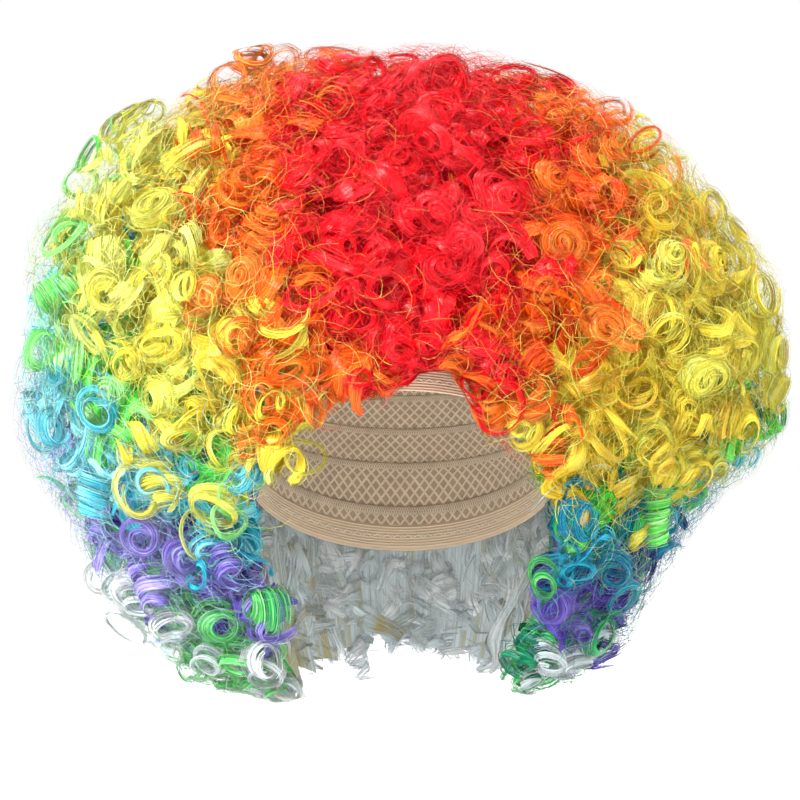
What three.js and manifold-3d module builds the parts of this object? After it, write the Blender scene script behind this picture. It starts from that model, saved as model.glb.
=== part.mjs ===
// Clown wig: rings of curly synthetic hair in rainbow colours, sewn to a net cap with an elastic edge band.
// Millimetres, +Z up, face side towards -Y.
// The origin is the inside top of the cap, where the crown of the head sits.

import * as THREE from 'three';
import { mergeVertices } from 'three/addons/utils/BufferGeometryUtils.js';
import Module from 'manifold-3d';

const wasm = await Module();
wasm.setup();

// The head form that the cap is sewn to fit
const headWidth = 150;
const headDepth = 194;
const crownHeight = 110;   // from the widest level up to the crown
const napeTaper = 150;     // from the widest level down to where the form would close, inside the neck

// Cap and edge band
const netWall = 1.5;
const bandWidth = 12;
const rimFrontDrop = 66;   // forehead edge of the cap, below the crown
const rimBackDrop = 150;   // nape edge of the cap, below the crown
const fitGap = 0.3;        // between pieces that lie on each other

// Hair, measured from its middle
const hairMiddleDrop = 62; // middle of the hair, below the crown
const hairHalfWidth = 182;
const hairFront = 153;
const hairBack = 178;
const hairBottomDrop = 216; // ends of the hair beside the neck, below the crown
const curlStand = 8;       // how far the curls stand out of the hair mass

// Face opening
const faceHalfWidth = 71;
const foreheadDrop = 66;

// Curls: a lock winds out of the mass as one open ring of hair
const curlRing = 14.5;     // radius of the ring
const curlThick = 9.5;     // radius of the lock
const curlTurns = 0.88;
const curlPitch = 96;      // distance between neighbouring curls
const curlRoot = 6;        // length of the lock inside the mass
const smallestCurl = 0.4;  // share of the full size; a narrower stretch of a row has no curl
const lockSides = 5;
const lockSteps = 5;

// Fineness of the rounded forms
const formSides = 18;
const formRings = 9;
const ringColumns = 16;
const ringSpans = 2;

// Outline of the hair from the front. turn runs from +X over the top, reach is a share of hairHalfWidth.
const outline = [
  { turn: 0, reach: 1.0 },
  { turn: 30, reach: 0.935 },
  { turn: 60, reach: 0.875 },
  { turn: 90, reach: 0.838 },
  { turn: 120, reach: 0.905 },
  { turn: 150, reach: 0.98 },
  { turn: 180, reach: 0.985 },
  { turn: 210, reach: 0.935 },
  { turn: 240, reach: 0.955 },
  { turn: 270, reach: 0.85 },
  { turn: 300, reach: 0.9 },
  { turn: 330, reach: 0.84 },
];

// Edge of the face opening. drop is a share of the height from the forehead to the ends of the hair,
// half is a share of faceHalfWidth.
const faceEdge = [
  { drop: 0, half: 0.36 },
  { drop: 0.06, half: 0.52 },
  { drop: 0.16, half: 0.76 },
  { drop: 0.28, half: 0.96 },
  { drop: 0.44, half: 1.0 },
  { drop: 0.58, half: 0.97 },
  { drop: 0.82, half: 0.83 },
  { drop: 1.0, half: 0.7 },
];

// Rings of colour round a pole that leans forward of the crown. Each row gives the angle from the pole, in
// degrees, at which the ring ends: over the face, on the viewer's right, at the back, on the viewer's left.
const poleLean = 40;
const rings = [
  { name: 'hair_red', face: 58, right: 27, back: 56, left: 20, rows: 2, colour: 0xe3122f },
  { name: 'hair_orange', face: 67, right: 46, back: 78, left: 37, rows: 1, colour: 0xff5a12 },
  { name: 'hair_yellow', face: 76, right: 93, back: 104, left: 66, rows: 2, colour: 0xf2d327 },
  { name: 'hair_green', face: 81, right: 97, back: 122, left: 77, rows: 1, colour: 0x35d23a },
  { name: 'hair_blue', face: 88, right: 112, back: 138, left: 98, rows: 1, colour: 0x1fb4d8 },
  { name: 'hair_purple', face: 102, right: 124, back: 152, left: 111, rows: 1, colour: 0x6a55c8 },
  { name: 'hair_teal', face: 119, right: 136, back: 166, left: 126, rows: 1, colour: 0x22b58c },
  { name: 'hair_pale', face: 180, right: 180, back: 180, left: 180, rows: 1, colour: 0xe9ecdf },
];

const degree = Math.PI / 180;
const far = 2 * (hairHalfWidth + hairFront + hairBack);
const headMiddle = new THREE.Vector3(0, 0, -crownHeight);
const hairMiddle = new THREE.Vector3(0, 0, -hairMiddleDrop);
const pole = new THREE.Vector3(0, -Math.sin(poleLean * degree), Math.cos(poleLean * degree));
const poleToFace = new THREE.Vector3(0, -Math.cos(poleLean * degree), -Math.sin(poleLean * degree));

// A closed geometry as a solid
function solid(geometry) {
  geometry.deleteAttribute('normal');
  geometry.deleteAttribute('uv');
  const merged = mergeVertices(geometry, 1e-4);
  const corners = merged.index.array;
  const kept = [];
  for (let i = 0; i < corners.length; i += 3) {
    const [a, b, c] = [corners[i], corners[i + 1], corners[i + 2]];
    if (a !== b && b !== c && c !== a) kept.push(a, b, c);
  }
  return new wasm.Manifold(new wasm.Mesh({
    numProp: 3,
    vertProperties: new Float32Array(merged.attributes.position.array),
    triVerts: new Uint32Array(kept),
  }));
}

// A solid back as a geometry
function geometryOf(body) {
  const mesh = body.getMesh();
  const geometry = new THREE.BufferGeometry();
  geometry.setAttribute('position', new THREE.BufferAttribute(mesh.vertProperties, 3));
  geometry.setIndex(new THREE.BufferAttribute(mesh.triVerts, 1));
  geometry.computeVertexNormals();
  return geometry;
}

// The largest body of a solid, without the offcuts of cut curls
function largest(body) {
  const bodies = body.decompose();
  bodies.sort((a, b) => b.volume() - a.volume());
  return bodies[0];
}

// A ball whose points are moved by a function of their direction
function shapedBall(sides, ringCount, place) {
  const geometry = new THREE.SphereGeometry(1, sides, ringCount).rotateX(Math.PI / 2);
  const position = geometry.attributes.position;
  const direction = new THREE.Vector3();
  for (let i = 0; i < position.count; i += 1) {
    direction.fromBufferAttribute(position, i).normalize();
    const point = place(direction);
    position.setXYZ(i, point.x, point.y, point.z);
  }
  return solid(geometry);
}

// The head form, larger all round by a wall
function headForm(wall) {
  const half = new THREE.Vector3(headWidth / 2 + wall, headDepth / 2 + wall, crownHeight + wall);
  return shapedBall(formSides, formRings, (direction) => {
    const point = direction.clone().multiply(half);
    if (point.z < 0) point.z *= (napeTaper + wall) / (crownHeight + wall);
    return point.add(headMiddle);
  });
}

// All that lies below the cap's slanting rim, the rim raised by a height
function belowRim(raise) {
  const slant = Math.atan2(rimBackDrop - rimFrontDrop, headDepth);
  const block = new THREE.BoxGeometry(far, far, far).translate(0, 0, -far / 2).rotateX(-slant);
  return solid(block.translate(0, 0, raise / Math.cos(slant) - (rimFrontDrop + rimBackDrop) / 2));
}

// The cap's wall between the rim and the crown
function domeWall() {
  return headForm(netWall).subtract(headForm(0)).subtract(belowRim(0));
}

function capSolid() {
  return domeWall().subtract(belowRim(bandWidth + fitGap));
}

function bandSolid() {
  return domeWall().intersect(belowRim(bandWidth));
}

// Outline of the face opening in the front view, open downwards
function faceShape() {
  const height = hairBottomDrop - foreheadDrop;
  const edgePoint = (row) => new THREE.Vector2(row.half * faceHalfWidth, -foreheadDrop - row.drop * height);
  const side = faceEdge.map(edgePoint);
  const last = side[side.length - 1];
  side.push(new THREE.Vector2(last.x, -far));
  const mirrored = side.map((point) => new THREE.Vector2(-point.x, point.y)).reverse();
  return new THREE.Shape([...mirrored, ...side].reverse());
}

// Everything that the hair stays clear of: the capped head, which tapers into the neck, and the face
function headRoom() {
  const face = new THREE.ExtrudeGeometry(faceShape(), { depth: far, bevelEnabled: false });
  face.rotateX(Math.PI / 2);
  return headForm(netWall + fitGap).add(solid(face));
}

// Reach of the hair from its middle in the front view
function outlineReach(turn) {
  const step = 360 / outline.length;
  const along = ((turn % 360) + 360) % 360 / step;
  const index = Math.floor(along) % outline.length;
  const share = along - Math.floor(along);
  const [a, b, c, d] = [-1, 0, 1, 2].map((k) => outline[(index + k + outline.length) % outline.length].reach);
  const bend = (2 * a - 5 * b + 4 * c - d) * share * share + (3 * b - a - 3 * c + d) * share ** 3;
  return hairHalfWidth * (b + 0.5 * ((c - a) * share + bend));
}

// Reach of the hair from its middle in any direction
function hairReach(direction) {
  const side = outlineReach(Math.atan2(direction.z, direction.x) / degree);
  const depth = direction.y < 0 ? hairFront : hairBack;
  const flat = (direction.x ** 2 + direction.z ** 2) / side ** 2;
  return 1 / Math.sqrt(flat + (direction.y / depth) ** 2);
}

// Angle from the pole at which a ring ends, at a turn about the pole from the face towards +X
function ringEnd(row, turn) {
  const along = Math.cos(turn) / (Math.cos(turn) > 0 ? row.face : row.back);
  const across = Math.sin(turn) / (Math.sin(turn) > 0 ? row.right : row.left);
  return degree / Math.hypot(along, across);
}

const ringStart = (index, turn) => (index > 0 ? ringEnd(rings[index - 1], turn) : 0);

function directionAt(turn, angle) {
  const aside = poleToFace.clone().multiplyScalar(Math.cos(turn)).setX(Math.sin(turn));
  return pole.clone().multiplyScalar(Math.cos(angle)).addScaledVector(aside, Math.sin(angle));
}

// One ring of colour out to a reach: a closed band of rays from the hair's middle, half a gap short of the
// rings beside it
function ringBody(index, outerReach) {
  const inner = hairMiddleDrop / 2;
  const halfGap = fitGap / 2 / (hairMiddleDrop + netWall);
  const section = [];
  for (let i = 0; i <= ringSpans; i += 1) section.push([i / ringSpans, outerReach]);
  for (let i = ringSpans; i >= 0; i -= 1) section.push([i / ringSpans, () => inner]);
  const points = [];
  for (let column = 0; column < ringColumns; column += 1) {
    const turn = (column / ringColumns) * 2 * Math.PI;
    const start = ringStart(index, turn) + (index > 0 ? halfGap : 0);
    const end = ringEnd(rings[index], turn) - (index < rings.length - 1 ? halfGap : 0);
    for (const [share, reach] of section) {
      const direction = directionAt(turn, start + share * (end - start));
      const point = direction.clone().multiplyScalar(reach(direction)).add(hairMiddle);
      points.push(point.x, point.y, point.z);
    }
  }
  const corners = [];
  const count = section.length;
  for (let column = 0; column < ringColumns; column += 1) {
    const next = (column + 1) % ringColumns;
    for (let i = 0; i < count; i += 1) {
      const j = (i + 1) % count;
      const [a, b, c, d] = [column * count + i, column * count + j, next * count + j, next * count + i];
      corners.push(a, b, c, a, c, d);
    }
  }
  const geometry = new THREE.BufferGeometry();
  geometry.setAttribute('position', new THREE.Float32BufferAttribute(points, 3));
  geometry.setIndex(corners);
  return solid(geometry);
}

// The path of a curl: one turn that winds up out of the mass
class CurlPath extends THREE.Curve {
  constructor(root, outward, firstTurn, rise, size) {
    super();
    this.root = root;
    this.radius = curlRing * size;
    this.outward = outward;
    this.rise = rise;
    this.firstTurn = firstTurn;
    this.aside = new THREE.Vector3(0, 0, 1).cross(outward);
    if (this.aside.length() < 0.1) this.aside.set(1, 0, 0);
    this.aside.normalize();
    this.across = outward.clone().cross(this.aside).normalize();
  }

  getPoint(share, target = new THREE.Vector3()) {
    const turn = this.firstTurn + share * curlTurns * 2 * Math.PI;
    return target.copy(this.root)
      .addScaledVector(this.outward, this.rise * Math.sin(share * Math.PI / 2))
      .addScaledVector(this.aside, this.radius * Math.cos(turn))
      .addScaledVector(this.across, this.radius * Math.sin(turn));
  }
}

function curlSolid({ direction, size }, firstTurn) {
  const reach = hairReach(direction);
  const root = hairMiddle.clone().addScaledVector(direction, reach - curlStand - curlRoot);
  const path = new CurlPath(root, direction, firstTurn, curlStand + curlRoot - curlThick * size, size);
  const rim = new THREE.Path().absarc(0, 0, curlThick * size, 0, 2 * Math.PI).getSpacedPoints(lockSides);
  const settings = { steps: lockSteps, extrudePath: path, bevelEnabled: false };
  return solid(new THREE.ExtrudeGeometry(new THREE.Shape(rim), settings));
}

// The curls of one ring, evenly spaced along its rows, each as large as its row is wide
function curlsOf(index) {
  const { rows } = rings[index];
  const samples = 180;
  const curls = [];
  for (let row = 0; row < rows; row += 1) {
    const share = (row + 0.5) / rows;
    const line = [];
    for (let i = 0; i <= samples; i += 1) {
      const turn = (i / samples) * 2 * Math.PI;
      const [start, end] = [ringStart(index, turn), ringEnd(rings[index], turn)];
      const direction = directionAt(turn, start + share * (end - start));
      const spot = direction.clone().multiplyScalar(hairReach(direction));
      const width = (spot.length() - curlStand) * (end - start) / rows;
      line.push({ direction, spot, size: Math.min(1, width / 2 / (curlRing + curlThick)) });
    }
    const lengths = [0];
    for (let i = 1; i <= samples; i += 1) {
      lengths.push(lengths[i - 1] + line[i].spot.distanceTo(line[i - 1].spot));
    }
    const count = Math.max(1, Math.round(lengths[samples] / curlPitch));
    for (let k = 0; k < count; k += 1) {
      const goal = ((k + 0.5 * (row % 2)) / count) * lengths[samples];
      curls.push(line[lengths.findIndex((length) => length >= goal)]);
    }
  }
  return curls;
}

// Whether a curl in a direction would stand in the face opening or under the neck
function inFaceRoom({ direction }) {
  const spot = direction.clone().multiplyScalar(hairReach(direction) - curlStand).add(hairMiddle);
  const drop = (-spot.z - foreheadDrop) / (hairBottomDrop - foreheadDrop);
  const edge = faceEdge.findLast((row) => row.drop <= drop) ?? faceEdge[0];
  const belowForehead = -spot.z > foreheadDrop - curlThick;
  const inFace = spot.y < 0 && belowForehead && Math.abs(spot.x) < edge.half * faceHalfWidth + curlThick;
  const neckDrop = (-spot.z - crownHeight) / napeTaper;
  const neckSpot = Math.hypot(spot.x / (headWidth / 2 + curlThick), spot.y / (headDepth / 2 + curlThick));
  const underNeck = neckDrop > 0 && Math.hypot(neckDrop, neckSpot) < 1;
  return inFace || underNeck;
}

const goldenTurn = Math.PI * (3 - Math.sqrt(5));
const massReach = (direction) => hairReach(direction) - curlStand;
const room = headRoom();

function ringSolid(index) {
  let body = ringBody(index, massReach);
  curlsOf(index).filter((curl) => curl.size > smallestCurl && !inFaceRoom(curl)).forEach((curl, k) => {
    body = body.add(curlSolid(curl, k * goldenTurn));
  });
  return largest(body.intersect(ringBody(index, () => far / 2)).subtract(room));
}

const wig = new THREE.Group();

function addPiece(name, body, colour, roughness) {
  const material = new THREE.MeshStandardMaterial({ color: colour, roughness, metalness: 0 });
  const mesh = new THREE.Mesh(geometryOf(body), material);
  mesh.name = name;
  wig.add(mesh);
}

addPiece('cap', largest(capSolid()), 0xd9b48c, 0.85);
addPiece('edge_band', largest(bandSolid()), 0xcfa67c, 0.8);
rings.forEach((row, index) => addPiece(row.name, ringSolid(index), row.colour, 0.4));

export default wig;
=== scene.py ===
import math

import bpy
import numpy as np
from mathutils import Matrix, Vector


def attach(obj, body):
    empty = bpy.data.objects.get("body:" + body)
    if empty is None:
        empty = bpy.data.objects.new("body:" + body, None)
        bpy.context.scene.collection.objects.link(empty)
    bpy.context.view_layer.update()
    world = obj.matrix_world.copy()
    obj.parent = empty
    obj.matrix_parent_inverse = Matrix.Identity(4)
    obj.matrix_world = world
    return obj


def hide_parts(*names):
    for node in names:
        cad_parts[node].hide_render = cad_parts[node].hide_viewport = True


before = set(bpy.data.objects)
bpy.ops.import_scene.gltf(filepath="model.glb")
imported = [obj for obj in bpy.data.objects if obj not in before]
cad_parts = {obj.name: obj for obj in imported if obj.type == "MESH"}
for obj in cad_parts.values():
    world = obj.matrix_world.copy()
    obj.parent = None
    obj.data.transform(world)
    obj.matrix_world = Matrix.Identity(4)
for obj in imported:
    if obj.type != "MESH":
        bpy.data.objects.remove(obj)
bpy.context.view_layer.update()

# Clown wig: ringlets of synthetic fibre in rings of colour, on a net cap with an elastic edge band. Metres,
# +Z up, face side towards -Y, origin inside the top of the cap.

MM = 0.001
RANDOM_START = 628

# The head form under the cap
NET_WALL = 1.5 * MM
HEAD_HALF_WIDTH = 75 * MM
HEAD_HALF_DEPTH = 97 * MM
CROWN_HEIGHT = 110 * MM
NAPE_TAPER = 150 * MM
NECK_RADIUS = 52 * MM
RIM_FRONT_DROP = 66 * MM
RIM_BACK_DROP = 150 * MM
BAND_WIDTH = 12 * MM
PIECE_GAP = 0.3 * MM
RIM_SLOPE = (RIM_BACK_DROP - RIM_FRONT_DROP) / (2 * HEAD_HALF_DEPTH)
HEAD_MIDDLE = np.array([0, 0, -CROWN_HEIGHT])

# The hair, measured from its middle
HAIR_MIDDLE = np.array([0, 0, -62 * MM])
HAIR_HALF_WIDTH = 182 * MM
HAIR_FRONT = 153 * MM
HAIR_BACK = 178 * MM
HAIR_BOTTOM_DROP = 216 * MM
FACE_HALF_WIDTH = 71 * MM
FOREHEAD_DROP = 66 * MM
FACE_HEIGHT = HAIR_BOTTOM_DROP - FOREHEAD_DROP
DOWN = np.array([0, 0, -1])

# Outline from the front, every 30 degrees from +X over the top, in shares of the half width
OUTLINE = [1.0, 0.935, 0.875, 0.838, 0.905, 0.98, 0.985, 0.935, 0.955, 0.85, 0.9, 0.84]

# Edge of the face opening: share of its height from the forehead to the ends of the hair, share of its half width
FACE_EDGE_DROP = [0, 0.06, 0.16, 0.28, 0.44, 0.58, 0.82, 1.0]
FACE_EDGE_HALF = [0.36, 0.52, 0.76, 0.96, 1.0, 0.97, 0.83, 0.7]

# Rings of colour: angle from the pole at which each ends over the face, on the right, at the back, on the left
POLE_LEAN = math.radians(40)
RINGS = {
    "red": (58, 27, 56, 20),
    "orange": (67, 46, 78, 37),
    "yellow": (76, 93, 104, 66),
    "green": (81, 97, 122, 77),
    "blue": (88, 112, 138, 98),
    "purple": (102, 124, 152, 111),
    "teal": (119, 136, 166, 126),
    "pale": (180, 180, 180, 180),
}
COLOURS = list(RINGS)

# Colours along each ring's tone scale, from its deepest to its lightest fibres; the painted highlight patches of
# hair_finish reach for the lightest end
TONES = {
    "red": [(0.5, 0.0, 0.003), (0.85, 0.001, 0.006), (0.95, 0.004, 0.014), (0.97, 0.028, 0.042)],
    "orange": [(0.80, 0.035, 0.001), (0.95, 0.11, 0.003), (0.98, 0.22, 0.012), (0.99, 0.45, 0.10)],
    "yellow": [(0.66, 0.40, 0.02), (0.84, 0.63, 0.04), (0.82, 0.80, 0.07), (0.88, 0.95, 0.26)],
    "green": [(0.02, 0.36, 0.02), (0.05, 0.66, 0.04), (0.13, 0.82, 0.09), (0.48, 0.94, 0.38)],
    "blue": [(0.0, 0.12, 0.22), (0.004, 0.32, 0.50), (0.04, 0.60, 0.76), (0.40, 0.86, 0.92)],
    "purple": [(0.03, 0.015, 0.18), (0.09, 0.05, 0.40), (0.20, 0.14, 0.62), (0.48, 0.44, 0.88)],
    "teal": [(0.003, 0.13, 0.10), (0.015, 0.38, 0.09), (0.07, 0.66, 0.10), (0.42, 0.88, 0.42)],
    "pale": [(0.62, 0.52, 0.24), (0.60, 0.72, 0.76), (0.82, 0.90, 0.93), (0.97, 0.98, 0.98)],
}

# How much each ring's tone falls for each metre towards the right: partly each ring's own change of colour, partly
# painted shade on the right side, away from the key light
TONE_AND_SHADE_FALL = {
    "red": 0.0, "orange": 0.5, "yellow": 1.3, "green": 2.0,
    "blue": 3.0, "purple": 2.8, "teal": 2.4, "pale": 0.2,
}
TONE_LEVEL = 0.7

# Strips of the OFBake map: the first half for combed ribbons, the second for dense ones, each a scale of tones
STRIPS = 32
TONE_STEPS = STRIPS // 2

# How many locks, broad tresses and loose fibres are spread over the ball, how deep the dense hair lies under
# them, and how many curls and tresses lie at the face opening and below the cap in each draw
LOCKS = 960
FILLING = 860
FRIZZ = 34000
BASE_DEPTH = 36 * MM
EDGE_CURLS = 110
INSIDE_CURLS = 84
CURTAIN_CURLS = 80
CURTAIN_TRESSES = 80

# Thin hair is left out where less room than this lies between the head form and the hair's outer form
LOCK_ROOM = 9 * MM
FILLING_ROOM = 12 * MM
FRIZZ_ROOM = 4 * MM
BASE_ROOM = 8 * MM
BASE_STEP = 16 * MM

# How far stray fibres may pass the outer form, and how low they may hang
OVERREACH = 11 * MM
FEATURE_SLACK = 20 * MM
LOWEST = -211 * MM

# Where the hair is drawn up over the forehead and the band shows: its middle, its half width and its lower edge
PART_X = 14 * MM
PART_HALF = 15 * MM
PART_LOW = -59 * MM
PART_RISE = 32 * MM
PART_FRONT = -40 * MM

# Kinds of lock. Columns: the share of the locks that it ends at, depth of the root, radii at the root and the
# tip, turns, rise, cone, half width, lean, steps, hollow. Lengths in mm, angles in radians.
LOCK_KINDS = {
    "rose": (0.33, (8, 18), (8.5, 14), (1, 3), (2.2, 3.1), (7, 12), (0.6, 1.1), (2.4, 4), (0, 0.8), 34, False),
    "ring": (0.44, (1, 9), (8, 12.5), (1, 4), (1.9, 2.6), (-10, -6), (0.5, 0.9), (2.2, 3.4), (0.1, 0.8), 30, True),
    "ringlet": (0.74, (9, 24), (6, 9), (5, 8), (1.8, 3.4), (20, 34), (0, 0.3), (2.6, 4), (0.5, 1.4), 38, False),
    "open": (0.84, (4, 16), (9, 14), (8, 12), (1, 1.5), (6, 14), (0.1, 0.6), (1.2, 2.6), (0.3, 1.3), 24, False),
    "wave": (1, (8, 22), (4, 7), (3, 6), (0.7, 1.5), (26, 42), (0, 0.3), (3, 4.6), (0.8, 1.5), 22, False),
}


# Form of the hair

def unit(v):
    return v / np.maximum(np.linalg.norm(v, axis=-1, keepdims=True), 1e-12)


def outline_reach(turn):
    along = np.mod(np.degrees(turn), 360) / (360 / len(OUTLINE))
    index = np.floor(along).astype(int)
    share = along - index
    table = np.array(OUTLINE)
    a, b, c, d = (table[(index + k) % len(OUTLINE)] for k in (-1, 0, 1, 2))
    bend = (2 * a - 5 * b + 4 * c - d) * share ** 2 + (3 * b - a - 3 * c + d) * share ** 3
    return HAIR_HALF_WIDTH * (b + 0.5 * ((c - a) * share + bend))


def hair_reach(direction):
    """Distance from the hair's middle to its outer form."""
    side = outline_reach(np.arctan2(direction[..., 2], direction[..., 0]))
    depth = np.where(direction[..., 1] < 0, HAIR_FRONT, HAIR_BACK)
    flat = (direction[..., 0] ** 2 + direction[..., 2] ** 2) / side ** 2
    return 1 / np.sqrt(flat + (direction[..., 1] / depth) ** 2)


def lumps(direction):
    """Uneven stand of the hair, as a share of its reach."""
    x, y, z = direction[..., 0], direction[..., 1], direction[..., 2]
    wide = np.sin(5.1 * x + 3.7 * z + 1.0) * np.sin(4.3 * y - 2.9 * z + 0.4)
    fine = np.sin(11.3 * x - 7.1 * y + 2.2) * np.sin(12.7 * z + 5.3 * x - 1.1)
    return 1 + 0.016 * wide + 0.022 * fine


def face_half(drop):
    """Half width of the face opening at a share of its height."""
    return np.interp(drop, FACE_EDGE_DROP, FACE_EDGE_HALF) * FACE_HALF_WIDTH


def front_depth(x, z, least=0.0):
    """How far forward the hair's outer form lies at a place in the front view."""
    high = z - HAIR_MIDDLE[2]
    share = np.hypot(x, high) / outline_reach(np.arctan2(high, x))
    return -HAIR_FRONT * np.sqrt(np.clip(1 - share ** 2, least, 1))


def in_head_room(point, clear=0.0):
    """Whether a point is in the room under the cap or in the face opening, both larger by a clearance."""
    x, y, z = point[..., 0], point[..., 1], point[..., 2]
    high = z + CROWN_HEIGHT
    height = np.where(high > 0, CROWN_HEIGHT, NAPE_TAPER) + NET_WALL + clear
    wall = NET_WALL + clear
    head = (x / (HEAD_HALF_WIDTH + wall)) ** 2 + (y / (HEAD_HALF_DEPTH + wall)) ** 2 + (high / height) ** 2 < 1
    neck = (np.hypot(x, y) < NECK_RADIUS + clear) & (high < 0)
    drop = (-z - FOREHEAD_DROP + clear) / FACE_HEIGHT
    half = face_half(drop) + clear
    face = (y < 0) & (drop > 0) & (np.abs(x) < half)
    return head | neck | face


def clear_reach(direction, clear):
    """Distance from the hair's middle at which a ray leaves the head room for good."""
    radii = np.linspace(40 * MM, 220 * MM, 181)
    points = HAIR_MIDDLE + direction[..., None, :] * radii[:, None]
    inside = in_head_room(points, clear)
    last = np.where(inside, radii, 0).max(axis=-1)
    return np.maximum(last, radii[0])


def dome_point(turn, tilt, wall):
    """A point of the head form, tilt measured from the crown, set out by a wall."""
    flat, high = np.sin(tilt), np.cos(tilt)
    height = np.where(high > 0, CROWN_HEIGHT, NAPE_TAPER) + wall
    return np.stack([
        (HEAD_HALF_WIDTH + wall) * flat * np.cos(turn),
        (HEAD_HALF_DEPTH + wall) * flat * np.sin(turn),
        -CROWN_HEIGHT + height * high,
    ], -1)


def rim_tilt(turn, raised):
    """Tilt from the crown at which the head form meets the slanting rim, raised by a height."""
    low, high = np.zeros_like(turn), np.full_like(turn, math.pi)
    for _ in range(40):
        middle = (low + high) / 2
        point = dome_point(turn, middle, 0)
        rim = -(RIM_FRONT_DROP + RIM_BACK_DROP) / 2 - RIM_SLOPE * point[..., 1]
        rim = rim + raised * math.hypot(1, RIM_SLOPE)
        above = point[..., 2] > rim
        low, high = np.where(above, middle, low), np.where(above, high, middle)
    return low


POLE = np.array([0, -math.sin(POLE_LEAN), math.cos(POLE_LEAN)])
POLE_TO_FACE = np.array([0, -math.cos(POLE_LEAN), -math.sin(POLE_LEAN)])


def ring_of(direction):
    """Number of the colour ring that a direction lies in."""
    angle = np.degrees(np.arccos(np.clip(direction @ POLE, -1, 1)))
    turn = np.arctan2(direction[..., 0], direction @ POLE_TO_FACE)
    ring = np.zeros(direction.shape[:-1], int)
    for face, right, back, left in list(RINGS.values())[:-1]:
        along = np.cos(turn) / np.where(np.cos(turn) > 0, face, back)
        across = np.sin(turn) / np.where(np.sin(turn) > 0, right, left)
        ring += angle > 1 / np.hypot(along, across)
    return ring


def ring_near(direction, jitter, random):
    """The same with the rings' borders mixed: each direction is moved a little at random first."""
    return ring_of(unit(direction + random.normal(0, jitter, direction.shape)))


def fibonacci_directions(count, random, jitter):
    """Directions spread evenly over a ball, each moved a little at random."""
    k = np.arange(count) + 0.5
    height = 1 - 2 * k / count
    turn = k * math.pi * (3 - math.sqrt(5))
    flat = np.sqrt(1 - height ** 2)
    even = np.stack([flat * np.cos(turn), flat * np.sin(turn), height], -1)
    return unit(even + random.normal(0, jitter / math.sqrt(count), even.shape))


def side_axes(direction, random):
    """Two directions across each given one, at a random turn."""
    free = unit(np.cross(direction, random.normal(size=direction.shape)))
    return free, np.cross(direction, free)


# Ribbons of fibre

def keep_form(points, slack):
    """Draws stray points back to the outer form of the hair, out of the head form and up to its lower ends."""
    out = points - HAIR_MIDDLE
    far = np.linalg.norm(out, axis=-1, keepdims=True)
    out = out / np.maximum(far, 1e-9)
    reach = (hair_reach(out) * lumps(out))[..., None] - 3 * MM
    over = np.maximum(far - reach, 0)
    points = HAIR_MIDDLE + out * (np.minimum(far, reach) + slack * np.tanh(over / slack))
    high = points[..., 2] + CROWN_HEIGHT
    height = np.where(high > 0, CROWN_HEIGHT, NAPE_TAPER) + NET_WALL
    wide, deep = np.full_like(high, HEAD_HALF_WIDTH + NET_WALL), np.full_like(high, HEAD_HALF_DEPTH + NET_WALL)
    half = np.stack([wide, deep, height], -1)
    inside = np.linalg.norm((points - HEAD_MIDDLE) / half, axis=-1, keepdims=True)
    points = HEAD_MIDDLE + (points - HEAD_MIDDLE) / np.clip(inside, 0.3, 1)
    rise = PART_LOW - points[..., 2]
    drawn = np.clip(1.4 - np.abs(points[..., 0] - PART_X) / PART_HALF, 0, 1)
    drawn = drawn * ((points[..., 1] < PART_FRONT) & (rise > 0) & (rise < PART_RISE))
    points[..., 2] += 0.92 * drawn * rise
    uneven = 4 * MM * (1 + np.sin(points[..., 0] * 97 + 1) * np.cos(points[..., 1] * 83))
    low = np.maximum(LOWEST + uneven - points[..., 2], 0)
    points[..., 2] += low - 5 * MM * np.tanh(low / (5 * MM))
    return points


def finished_piece(mesh, map_name, maps, material):
    """A smooth piece with its map and its material."""
    mesh.polygons.foreach_set("use_smooth", np.ones(len(mesh.polygons), bool))
    layer = mesh.uv_layers.new(name=map_name)
    layer.data.foreach_set("uv", np.concatenate(maps).astype(np.float32).ravel())
    mesh.materials.append(material)
    mesh.update()
    piece = bpy.data.objects.new(mesh.name, mesh)
    bpy.context.scene.collection.objects.link(piece)
    return piece


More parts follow.
